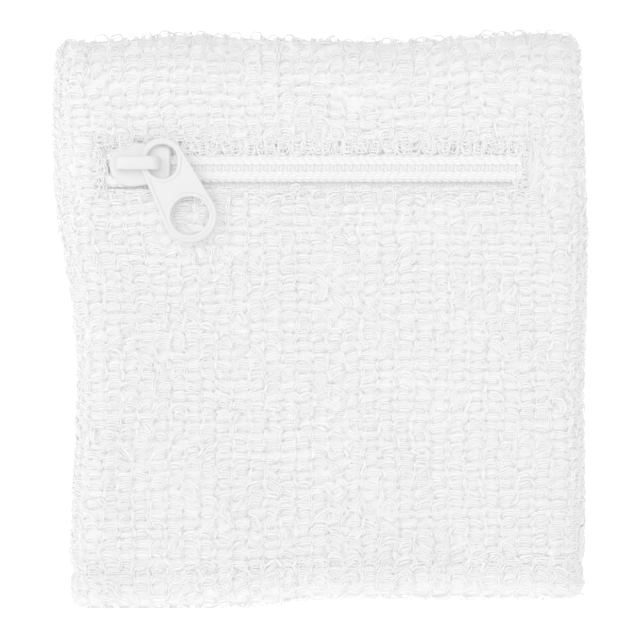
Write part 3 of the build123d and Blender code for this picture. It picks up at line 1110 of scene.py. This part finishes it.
RING_OUTER, RING_HOLE = 3.3, 2.3
RING_RISE = 0.6             # how much taller than round the ring is
PULL_RIM = 0.34             # half the width of the raised rim
RECESS = 0.17               # how far the pull's face lies below its rims


def flat_plate(outlines, half_thick, middle_y):
    """A flat plate inside the first outline, with the others as holes, as points and triangles."""
    curve = bpy.data.curves.new("plate", "CURVE")
    curve.dimensions = "2D"
    curve.fill_mode = "BOTH"
    curve.extrude = half_thick * MM
    for outline in outlines:
        spline = curve.splines.new("POLY")
        spline.points.add(len(outline) - 1)
        for point, (x, z) in zip(spline.points, outline):
            point.co = (x * MM, z * MM, 0, 1)
        spline.use_cyclic_u = True
    holder = bpy.data.objects.new("plate", curve)
    mesh = bpy.data.meshes.new_from_object(holder)
    mesh.calc_loop_triangles()
    x, z, depth = np.array([v.co for v in mesh.vertices]).T / MM
    triangles = np.array([t.vertices for t in mesh.loop_triangles])
    bpy.data.objects.remove(holder)
    bpy.data.meshes.remove(mesh)
    bpy.data.curves.remove(curve)
    return np.stack([x, middle_y - depth, z], 1), triangles


def pull_casting():
    """The pear-shaped pull: a thin face inside a raised rim, with a raised lip round each hole."""
    grip = next(mount for mount in record["mounts"] if mount["name"] == "pull_hole")
    grip_x, _, grip_z = [c / MM for c in grip["pos_m"]]
    ring_x = pull_low[0] + RING_OUTER
    rim = [
        (ring_x, zip_z, RING_OUTER), (ring_x, zip_z + RING_RISE, RING_OUTER),
        (grip_x, grip_z, grip_z - pull_low[2]),
    ]
    ring = [(ring_x, zip_z, RING_HOLE), (ring_x, zip_z + RING_RISE, RING_HOLE)]
    hole = [(grip_x, grip_z, grip["dims"]["r_mm"])]
    middle_y, half_y = (pull_low[1] + pull_back) / 2, (pull_back - pull_low[1]) / 2
    outlines = (hull_outline(rim, 0.2), hull_outline(ring, -0.2), hull_outline(hole, -0.2))
    beads = []
    for circles, inset in ((rim, PULL_RIM), (ring, -PULL_RIM), (hole, -PULL_RIM)):
        route = in_front(hull_outline(circles, inset), middle_y)
        beads.append(rail(route, (0, 1, 0), PULL_RIM, half_y, closed=True))
    return flat_plate(outlines, half_y - RECESS, middle_y), joined(beads)


slider_shown = slider_casting()
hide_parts("slider_body")
face, beads = pull_casting()
pull_face = make_mesh("pull_face", *face, paint, "pull", smooth=False)
pull_rims = make_mesh("pull_rims", *beads, paint, "pull")
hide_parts("pull_tab")


# ---------------------------------------------------------------- studio, in metres
FLOOR_REACH = 1.2


def studio_floor():
    """A white floor that looks bright to the camera and lights the band only a little."""
    material, tree, shader = finish_of("floor_white", 0.9, 0.85, Emission_Strength=2.4)
    seen = node(tree, "ShaderNodeLightPath", {}, output="Is Camera Ray")
    plug(tree, tinted(tree, seen, 0.3, 1.0), shader, "Emission Color")
    mesh = bpy.data.meshes.new("floor")
    corners = [(x * FLOOR_REACH, y * FLOOR_REACH, 0) for x, y in ((-1, -1), (1, -1), (1, 1), (-1, 1))]
    mesh.from_pydata(corners, [], [(0, 1, 2, 3)])
    mesh.materials.append(material)
    floor = bpy.data.objects.new("floor", mesh)
    bpy.context.scene.collection.objects.link(floor)


FRONT_LIGHT = (-0.28, -0.96, 0.0)       # towards the brightest part of the sky
DIM, BRIGHT, BACKDROP = 0.12, 3.6, 2.5  # the sky's strengths: its sides, its middle, and as seen


def sky():
    """Brightest in front and behind, so that the band's edges fall into soft shade."""
    world = bpy.data.worlds.new("studio")
    world.use_nodes = True
    tree = world.node_tree
    towards = node(tree, "ShaderNodeTexCoord", {}, output="Generated")
    facing = node(
        tree, "ShaderNodeVectorMath", {0: towards, 1: FRONT_LIGHT}, output="Value",
        operation="DOT_PRODUCT",
    ).math("ABSOLUTE")
    shade = node(
        tree, "ShaderNodeMapRange", {0: facing, 1: 0.5, 2: 1.0, 3: DIM, 4: BRIGHT},
        interpolation_type="SMOOTHSTEP",
    )
    seen = node(tree, "ShaderNodeLightPath", {}, output="Is Camera Ray")
    strength = shade + seen * (BACKDROP - shade)
    background = tree.nodes["Background"]
    background.inputs["Color"].default_value = (1, 1, 1, 1)
    tree.links.new(strength.socket, background.inputs["Strength"])
    bpy.context.scene.world = world


def look_at(thing, at, target):
    """Puts a lamp or camera at a place and turns it to its target."""
    thing.location = at
    thing.rotation_euler = (Vector(target) - Vector(at)).to_track_quat("-Z", "Y").to_euler()
    bpy.context.scene.collection.objects.link(thing)


def key_light():
    """A soft lamp from the left."""
    light = bpy.data.lights.new("key", "AREA")
    light.shape = "RECTANGLE"
    light.size, light.size_y = 0.5, 0.5
    light.energy = 2.0
    look_at(bpy.data.objects.new("key", light), (-0.55, -0.7, 0.2), (0, 0, 0.045))


studio_floor()
sky()
key_light()

FRAME_WIDTH = 96.96 * MM    # width of the view at the band's front
CAMERA_AWAY = 0.42
CAMERA_RISE = math.radians(-3)
FILM = 36.0
aimed_at = (0, -half_depth * MM, 43.8 * MM)
camera_data = bpy.data.cameras.new("camera")
camera_data.sensor_width = FILM
camera_data.lens = FILM * CAMERA_AWAY / FRAME_WIDTH
camera = bpy.data.objects.new("camera", camera_data)
camera_at = (
    0,
    aimed_at[1] - CAMERA_AWAY * math.cos(CAMERA_RISE),
    aimed_at[2] + CAMERA_AWAY * math.sin(CAMERA_RISE),
)
look_at(camera, camera_at, aimed_at)
bpy.context.scene.camera = camera
view = bpy.context.scene.view_settings
view.view_transform = "Standard"
view.exposure = -0.5
view.gamma = 3.0            # keeps white cloth from burning out against the white background
